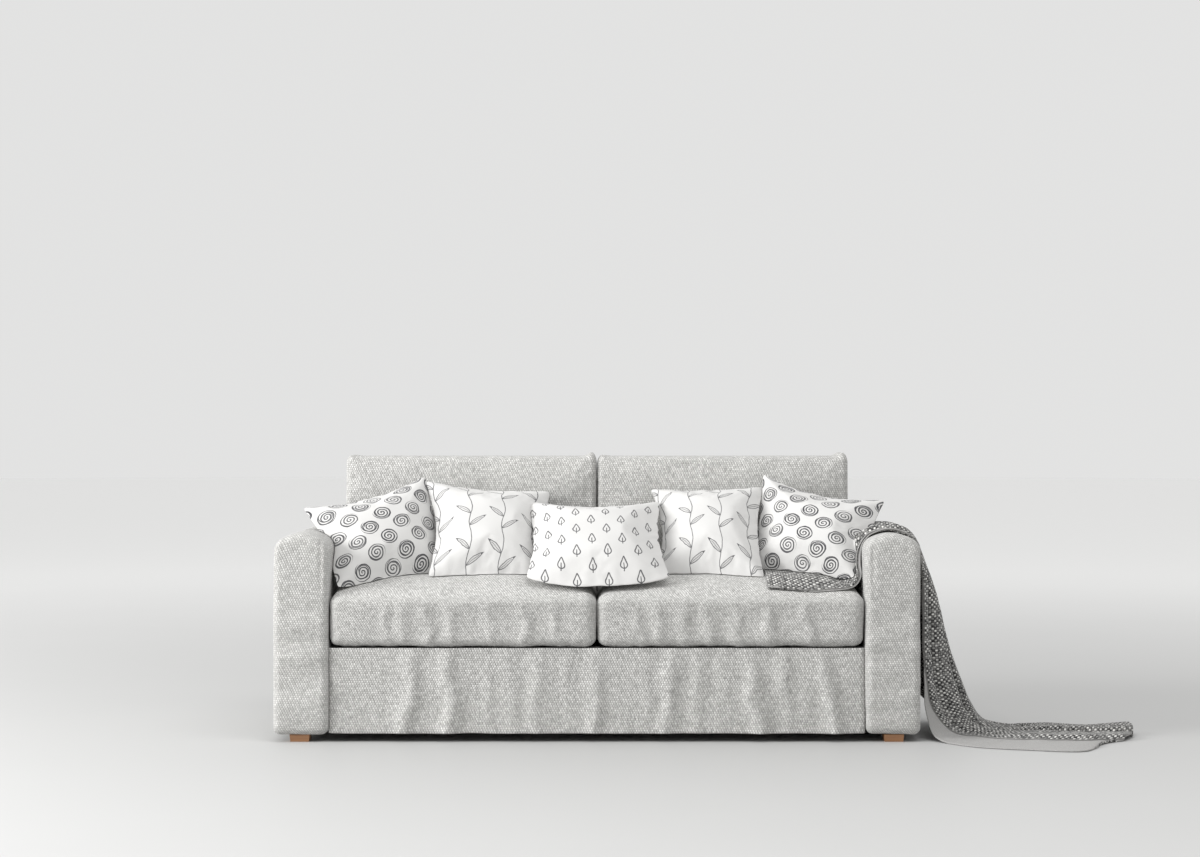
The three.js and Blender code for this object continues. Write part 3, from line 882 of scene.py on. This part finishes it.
def pleats(share, across):
    """How far the blanket's folds stand out: none on the sofa, deep where it hangs, rolls on the floor."""
    hanging = smooth_step(0.50, 0.62, share) * (1 - smooth_step(0.80, 0.88, share))
    lying = smooth_step(0.80, 0.90, share)
    sofa = smooth_step(0.10, 0.22, share) * (1 - smooth_step(0.44, 0.54, share))
    hang = sum(depth * hump(across, centre, width) for depth, centre, width in HANGING_FOLDS)
    valley_depth, valley_centre, valley_width = ROLL_VALLEY
    lie = FRONT_ROLL * smooth_step(0.0, 0.07, across) + REAR_ROLL * smooth_step(0.42, 0.50, across)
    lie -= valley_depth * hump(across, valley_centre, valley_width)
    lie -= REAR_EDGE_DROP * smooth_step(0.84, 1.0, across)
    crease = SOFA_CREASE * math.sin(across * 21 + share * 9)
    tip = CURLED_TIP * smooth_step(0.93, 1.0, share) * hump(across, 0.80, 0.22)
    return hang * hanging + lie * lying + crease * sofa + tip


def blanket_base():
    """The middle surface between the blanket's two halves, as rows of points from end to end."""
    shares = even_shares(THROW_MIDDLE_LINE, BLANKET_COLUMNS)
    extra_rows = round(BLANKET_ROWS * BLANKET_EXTRA / BLANKET_HALF)
    base = bmesh.new()
    bmesh.ops.create_grid(
        base, x_segments=BLANKET_COLUMNS, y_segments=BLANKET_ROWS + extra_rows, size=0.5,
    )
    rows = {}
    for vertex in base.verts:
        column = round((vertex.co.x + 0.5) * BLANKET_COLUMNS)
        row = round((vertex.co.y + 0.5) * (BLANKET_ROWS + extra_rows)) - extra_rows
        rows[column, row] = vertex
        share = shares[column]
        across = max(row / BLANKET_ROWS, 0.0)
        front = along_line(THROW_FRONT_LINE, share)
        middle = along_line(THROW_MIDDLE_LINE, share)
        rear = along_line(THROW_REAR_LINE, share)
        place = front * (1 - 2 * across) * (1 - across)
        place += middle * 4 * across * (1 - across)
        place += rear * across * (2 * across - 1)
        if row < 0:
            place += along_line(LINING_REACH, share) * (-row / extra_rows)
        vertex.co = place
    bmesh.ops.recalc_face_normals(base, faces=base.faces)
    base.normal_update()
    if sum(face.normal.z for face in base.faces) < 0:
        bmesh.ops.reverse_faces(base, faces=base.faces)
        base.normal_update()
    for (column, row), vertex in rows.items():
        share = shares[column]
        across = max(row / BLANKET_ROWS, 0.0)
        fade = 1 if row >= 0 else max(0, 1 + row / 4)
        vertex.co += vertex.normal * pleats(share, across) * fade
        vertex.co += vertex.normal * ruffle(vertex.co, *BLANKET_RUFFLE, 50)
        vertex.co.z = max(vertex.co.z, BLANKET_LOW)
    return base, rows, extra_rows


def surfaces(*pieces):
    """The finished surfaces of the pieces, for keeping others clear of them."""
    graph = bpy.context.evaluated_depsgraph_get()
    return [BVHTree.FromObject(piece, graph) for piece in pieces]


def clear_of(shape, trees, gap, reach=0.2, rounds=1):
    """Moves the points that lie inside a surface out of it, and eases their neighbours."""
    for _ in range(rounds):
        moved = []
        for vertex in shape.verts:
            for tree in trees:
                place, normal, _index, _distance = tree.find_nearest(vertex.co, reach)
                if place is None:
                    continue
                offset = vertex.co - place
                height = offset.dot(normal)
                if height < gap and abs(height) > 0.7 * offset.length:
                    vertex.co = place + normal * gap
                    moved.append(vertex)
        if rounds > 1:
            bmesh.ops.smooth_vert(
                shape, verts=list(set(moved)), factor=0.5,
                use_axis_x=True, use_axis_y=True, use_axis_z=True,
            )


def even_weave(sheet, spots, columns, rows):
    """Maps the weave by the cloth's own lengths, so its stitches are the same size everywhere."""
    along = {}
    across = {}
    middle = rows // 2
    for row in range(rows + 1):
        for column in range(columns + 1):
            vertex = spots[column, row][0]
            step_along = step_across = 0.0
            if column:
                step_along = (spots[column, middle][0].co - spots[column - 1, middle][0].co).length
                step_along += along[spots[column - 1, row][0]]
            if row:
                step_across = (vertex.co - spots[column, row - 1][0].co).length
                step_across += across[spots[column, row - 1][0]]
            along[vertex] = step_along
            across[vertex] = step_across
    cloth = sheet.loops.layers.uv["cloth"]
    for face in sheet.faces:
        for loop in face.loops:
            loop[cloth].uv = (along[loop.vert], across[loop.vert])


def make_throw():
    base, rows, extra_rows = blanket_base()
    supports = surfaces(cushions["seat_cushion_right"], arms["right"])
    seat = supports[0]
    for vertex in rows.values():
        if vertex.co.x < SEAT_PART_END and vertex.co.z > SEAT_PART_LOWEST:
            hit = seat.ray_cast(Vector((vertex.co.x, vertex.co.y, 0.8)), Vector((0, 0, -1)))[0]
            if hit is not None:
                vertex.co.z = hit.z + BLANKET_LOW + BLANKET_ON_SEAT
    clear_of(base, supports, BLANKET_LOW, reach=0.05)
    base.normal_update()
    outward = {place: vertex.normal.copy() for place, vertex in rows.items()}
    total_rows = 2 * BLANKET_ROWS + BLANKET_BEND_ROWS + extra_rows
    sheet = flat_cloth(BLANKET_COLUMNS, total_rows, BLANKET_LENGTH, BLANKET_WIDTH)
    spots = {}
    for vertex in sheet.verts:
        column = round(vertex.co.x / BLANKET_LENGTH * BLANKET_COLUMNS)
        count = round(vertex.co.y / BLANKET_WIDTH * total_rows)
        if count <= BLANKET_ROWS:
            row = count
            lift_by = 1.0
            beyond = 0.0
        elif count < BLANKET_ROWS + BLANKET_BEND_ROWS:
            turn = math.pi * (count - BLANKET_ROWS) / BLANKET_BEND_ROWS
            row = BLANKET_ROWS
            lift_by = math.cos(turn)
            beyond = math.sin(turn)
        else:
            row = BLANKET_ROWS - (count - BLANKET_ROWS - BLANKET_BEND_ROWS)
            lift_by = -1.0
            beyond = 0.0
        normal = outward[column, row]
        place = rows[column, row].co + normal * BLANKET_LIFT * lift_by
        if beyond:
            inner = rows[column, BLANKET_ROWS - 1].co
            place += (rows[column, row].co - inner).normalized() * BLANKET_LIFT * beyond
        place.z = max(place.z, BLANKET_OFF_FLOOR)
        spots[column, count] = (vertex, place)
    for vertex, place in spots.values():
        vertex.co = place
    even_weave(sheet, spots, BLANKET_COLUMNS, total_rows)
    base.normal_update()
    surface = BVHTree.FromBMesh(base)
    base.free()
    sheet.normal_update()
    for vertex in sheet.verts:
        vertex.co.z = max(vertex.co.z, BLANKET_WALL * max(vertex.normal.z, 0.0) + BLANKET_OFF_FLOOR)
    piece = object_from("throw", sheet, blanket_weave("throw_weave"))
    # The plain side's material carries painted shade in its darkened greys.
    piece.data.materials.append(plain_side_with_painted_shade("throw_plain_side"))
    wall = piece.modifiers.new("thickness", "SOLIDIFY")
    wall.thickness = BLANKET_WALL
    wall.offset = -1
    wall.material_offset = 1
    wall.material_offset_rim = 1
    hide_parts("throw_seat", "throw_arm", "throw_drop", "throw_floor", "throw_lining")
    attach(piece, "root")
    return surface


throw_surface = make_throw()

# Scatter cushions
# Square cotton covers, sewn round their edges and stuffed with soft filling, printed with dark
# grey hand-drawn lines. They lean on the back cushions, and their corners stand out as ears.

COTTON = (0.60, 0.595, 0.585, 1)
INK = (0.05, 0.05, 0.055, 1)
SCATTER_SIDE = 0.45
SCATTER_SEAM = 0.004
SCATTER_CELLS = 56
SCATTER_THICKNESS = 0.15
SCATTER_FRAMES = 22
SCATTER_PRESSURE = 5.0
SCATTER_TAUT = 0.85
SCATTER_BLUNTNESS = 30
SCATTER_PUCKER = 0.009
SCATTER_GATHER = 0.005
SCATTER_UNEVENNESS = 0.003
PRINT_OFFSET_BEHIND = 0.6
CLEAR_OF_BODY = 0.002
CLEAR_OF_THROW = 0.006


def printed_cotton(name, pattern):
    """Off-white cotton with a pattern of ink lines, on the cover's own UV map in metres."""
    cotton = Finish(name, Roughness=0.85, Sheen_Weight=0.1, Specular_IOR_Level=0.2)
    cloth = cotton.node("ShaderNodeUVMap", {"uv_map": "cloth"})
    wobble = cotton.noise(cloth, 55.0) - 0.5
    u, v, _ = cotton.split(cloth)
    wobble_up = cotton.noise(cotton.point(u + 9, v + 4, 2.0), 55.0) - 0.5
    ink = pattern(cotton, u + wobble * 0.004, v + wobble_up * 0.004).clamped()
    weave = cotton.noise(cloth, 900.0)
    cotton.shade(
        Base_Color=cotton.mix(ink, COTTON, INK),
        Normal=cotton.bump(weave, 0.0002),
    )
    return cotton.material


def stroke(distance, width):
    """A drawn line of that width where the distance to it is nothing."""
    return ((width / 2 - abs(distance)) / 0.0006 + 0.5).clamped()


def roundels(cotton, u, v):
    """Loose hand-drawn spirals set in staggered rows, their outer turns drawn twice."""
    pitch = 0.085
    p = (u + v) * math.sqrt(0.5) / pitch
    q = (u - v) * math.sqrt(0.5) / pitch
    cell = cotton.point(p.floor(), q.floor(), 3.0)
    chance, second, third = cotton.split(cotton.chance(cell, "Color"))
    x = (p.fraction() - 0.5 + (chance - 0.5) * 0.10) * pitch
    y = (q.fraction() - 0.5 + (second - 0.5) * 0.10) * pitch
    radius = (x * x + y * y * (0.9 + third * 0.35)).root()
    turn = cotton.node("ShaderNodeMath", {"operation": "ARCTAN2"}, {0: y, 1: x}) / (2 * math.pi)
    size = 0.033 + 0.004 * third
    loops = radius / 0.0112 - turn + chance
    line = stroke((loops.fraction() - 0.5) * 0.0112, 0.0044 + second * 0.0012)
    shifted = ((x - 0.003) * (x - 0.003) + (y + 0.002) * (y + 0.002)).root()
    again = shifted / 0.0120 - turn + third
    line_again = stroke((again.fraction() - 0.5) * 0.0120, 0.0030) * radius.above(0.019)
    inside = ((size - radius) / 0.0010).clamped()
    return line.larger(line_again) * inside * (0.88 + 0.12 * chance)


def leaf(x, y, length, width):
    """A lens-shaped leaf from the origin along x, drawn in outline with a midrib and a dark tip."""
    arc = (length ** 2 / 4 + width ** 2) / (2 * width)
    rise = abs(y) + (arc - width)
    shifted = x - length / 2
    edge = (shifted * shifted + rise * rise).root() - arc
    outline = stroke(edge, 0.0028)
    inside = edge.below(0.0)
    midrib = stroke(y, 0.0018) * inside * x.below(length * 0.8)
    tip = inside * x.above(length * 0.88)
    return (outline.larger(midrib) * 0.85).larger(tip * 0.9).larger(inside * 0.12)


def vines(cotton, u, v):
    """Wavy upright stems with a pair of leaves to each turn."""
    spacing = 0.127
    period = 0.150
    from_stem = u - 0.048
    column = (from_stem / spacing + 0.5).floor()
    height = v + column * 0.012
    sway = ((height / period) * 2 * math.pi).sine() * 0.0065
    x = from_stem - column * spacing - sway
    stem = stroke(x, 0.0034) * 0.85
    ink = stem
    for side, start in ((-1, 0.0), (1, 0.055)):
        step = (height / period + start / period).fraction() * period
        for wrap in (0.0, -period):
            y = step + wrap
            angle = math.radians(38)
            run = x * side * math.cos(angle) + y * math.sin(angle)
            off = y * math.cos(angle) - x * side * math.sin(angle)
            ink = ink.larger(leaf(run, off, 0.076, 0.0078))
    return ink


def drops(_cotton, u, v):
    """Small upright leaf drops in staggered columns."""
    column_width = 0.050
    row_height = 0.100
    columns = (u - 0.008) / column_width
    column = columns.floor()
    x = columns.fraction() * column_width - column_width / 2
    climb = (v - 0.038) / row_height + (column % 2) * 0.5
    y = climb.fraction() * row_height - row_height / 2
    radius = 0.0112
    tip = 0.030
    slope = math.asin(radius / tip)
    side = abs(x)
    circle = (x * x + y * y).root() - radius
    cone = side * math.cos(slope) + y * math.sin(slope) - radius
    on_cone = (y * math.cos(slope) - side * math.sin(slope)).above(0.0)
    edge = on_cone * cone + (1 - on_cone) * circle
    inner_stem = stroke(x, 0.0032) * y.above(-0.020) * y.below(0.008)
    return (stroke(edge, 0.0038) * y.below(tip)).larger(inner_stem) * 0.9


# Each cushion: its print, where its top left, top right, bottom right and bottom left corners are,
# and how far its top, right, bottom and left edges are drawn in between the corners.
SCATTERS = [
    ("scatter_drops_centre", drops,
     [(-0.224, -0.020, 0.731), (0.205, -0.020, 0.731), (0.229, -0.360, 0.504), (-0.220, -0.360, 0.504)],
     (0.022, 0.010, -0.062, 0.010)),
    ("scatter_vines_left", vines,
     [(-0.565, 0.045, 0.797), (-0.152, 0.070, 0.762), (-0.165, -0.240, 0.497), (-0.532, -0.290, 0.503)],
     (0.011, 0.006, -0.007, 0.026)),
    ("scatter_vines_right", vines,
     [(0.174, 0.060, 0.769), (0.545, 0.045, 0.777), (0.527, -0.290, 0.498), (0.185, -0.235, 0.508)],
     (0.003, 0.015, -0.007, 0.028)),
    ("scatter_roundels_left", roundels,
     [(-0.946, -0.100, 0.713), (-0.563, 0.060, 0.813), (-0.480, -0.170, 0.500), (-0.806, -0.375, 0.474)],
     (0.030, -0.012, -0.008, 0.010)),
    ("scatter_roundels_right", roundels,
     [(0.543, 0.060, 0.821), (0.927, -0.100, 0.738), (0.810, -0.320, 0.495), (0.478, -0.150, 0.512)],
     (0.037, 0.000, -0.008, 0.006)),
]


def flat_pillow(name, material, seed):
    """Two squares of cloth sewn together round their edges, before the filling goes in."""
    size = Vector((SCATTER_SIDE, SCATTER_SIDE, SCATTER_SEAM))
    pillow = panelled_box((SCATTER_CELLS, SCATTER_CELLS, 1), size)
    cloth = pillow.loops.layers.uv["cloth"]
    for face in pillow.faces:
        back = face.normal.z < -0.5
        for loop in face.loops:
            place = loop.vert.co
            aside = PRINT_OFFSET_BEHIND if back else 0
            loop[cloth].uv = (place.x * size.x / 2 + aside, place.y * size.y / 2)
    for vertex in pillow.verts:
        unit = vertex.co
        vertex.co = Vector([part * full / 2 for part, full in zip(unit, size)])
        vertex.co.z += SCATTER_UNEVENNESS * noise.noise(Vector((unit.x * 2.5, unit.y * 2.5, seed * 11.3)))
    return object_from(name + "_cover", pillow, material)


pillows = {}
for seed, (name, pattern, _corners, _drawn_in) in enumerate(SCATTERS):
    pillows[name] = flat_pillow(name, printed_cotton(name, pattern), seed)
stuffed = draped(list(pillows.values()), SCATTER_FRAMES, SCATTER_PRESSURE, stiffness=20, bending=0.3)


def bluntness(square):
    """How much closer to the middle a place of the square cover lies for its corners to be blunt."""
    x, y = abs(square.x), abs(square.y)
    reach = max(x, y)
    if reach < 0.5:
        return 1.0
    return reach / (x ** SCATTER_BLUNTNESS + y ** SCATTER_BLUNTNESS) ** (1 / SCATTER_BLUNTNESS)


def seam_gathers(square, seed):
    """Small wrinkles that run inward from the seams, -1 to 1."""
    wrinkles = 0.0
    for along, to_seam in ((square.x, 1 - abs(square.y)), (square.y, 1 - abs(square.x))):
        fade = math.exp(-to_seam / 0.22) * (1 - math.exp(-to_seam / 0.04))
        wrinkles += fade * noise.noise(Vector((along * 8, to_seam * 2, seed * 30)))
    return wrinkles


def set_down(piece, places, corners, drawn_in, supports):
    """Carries the stuffed cushion to its corners on the sofa and presses it on what it leans on."""
    top_left, top_right, bottom_right, bottom_left = (Vector(corner) for corner in corners)
    top_in, right_in, bottom_in, left_in = (depth / SCATTER_SIDE for depth in drawn_in)
    outward = (top_right - bottom_left).cross(top_left - bottom_right).normalized()
    reach_x = max(place.x for place in places)
    reach_y = max(place.y for place in places)
    thickness = max(place.z for place in places) - min(place.z for place in places)
    shape = bmesh.new()
    shape.from_mesh(piece.data)
    shape.verts.ensure_lookup_table()
    for vertex, place in zip(shape.verts, places):
        square = vertex.co / (SCATTER_SIDE / 2)
        loose_x = place.x / reach_x
        loose_y = place.y / reach_y
        blunt = bluntness(square)
        across = ((loose_x + (square.x - loose_x) * SCATTER_TAUT) * blunt + 1) / 2
        up = ((loose_y + (square.y - loose_y) * SCATTER_TAUT) * blunt + 1) / 2
        middle_x = 1 - square.x ** 2
        middle_y = 1 - square.y ** 2
        pucker = SCATTER_PUCKER * noise.noise(Vector((square.x * 9, square.y * 9, corners[0][0] * 20)))
        across += (left_in * (1 - across) - right_in * across + pucker * (2 * across - 1)) * middle_y
        up += (bottom_in * (1 - up) - top_in * up + pucker * (2 * up - 1)) * middle_x
        low = bottom_left.lerp(bottom_right, across)
        high = top_left.lerp(top_right, across)
        depth = place.z * SCATTER_THICKNESS / thickness
        gather = SCATTER_GATHER * seam_gathers(square, corners[0][0]) * math.copysign(1, place.z)
        vertex.co = low.lerp(high, up) + outward * (depth + gather)
    for trees, gap in supports:
        clear_of(shape, trees, gap, reach=0.06, rounds=3)
    for trees, gap in supports:
        clear_of(shape, trees, gap, reach=0.06)
    shape.to_mesh(piece.data)
    shape.free()


body = surfaces(*cushions.values(), *arms.values())
in_front = []
for (name, _pattern, corners, drawn_in), places in zip(SCATTERS, stuffed):
    piece = pillows[name]
    supports = [(body, CLEAR_OF_BODY), ([throw_surface], CLEAR_OF_THROW), (in_front, CLEAR_OF_BODY)]
    set_down(piece, places, corners, drawn_in, supports)
    soften(piece)
    in_front.extend(surfaces(piece))
    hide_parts(name)
    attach(piece, "root")

bpy.context.view_layer.update()
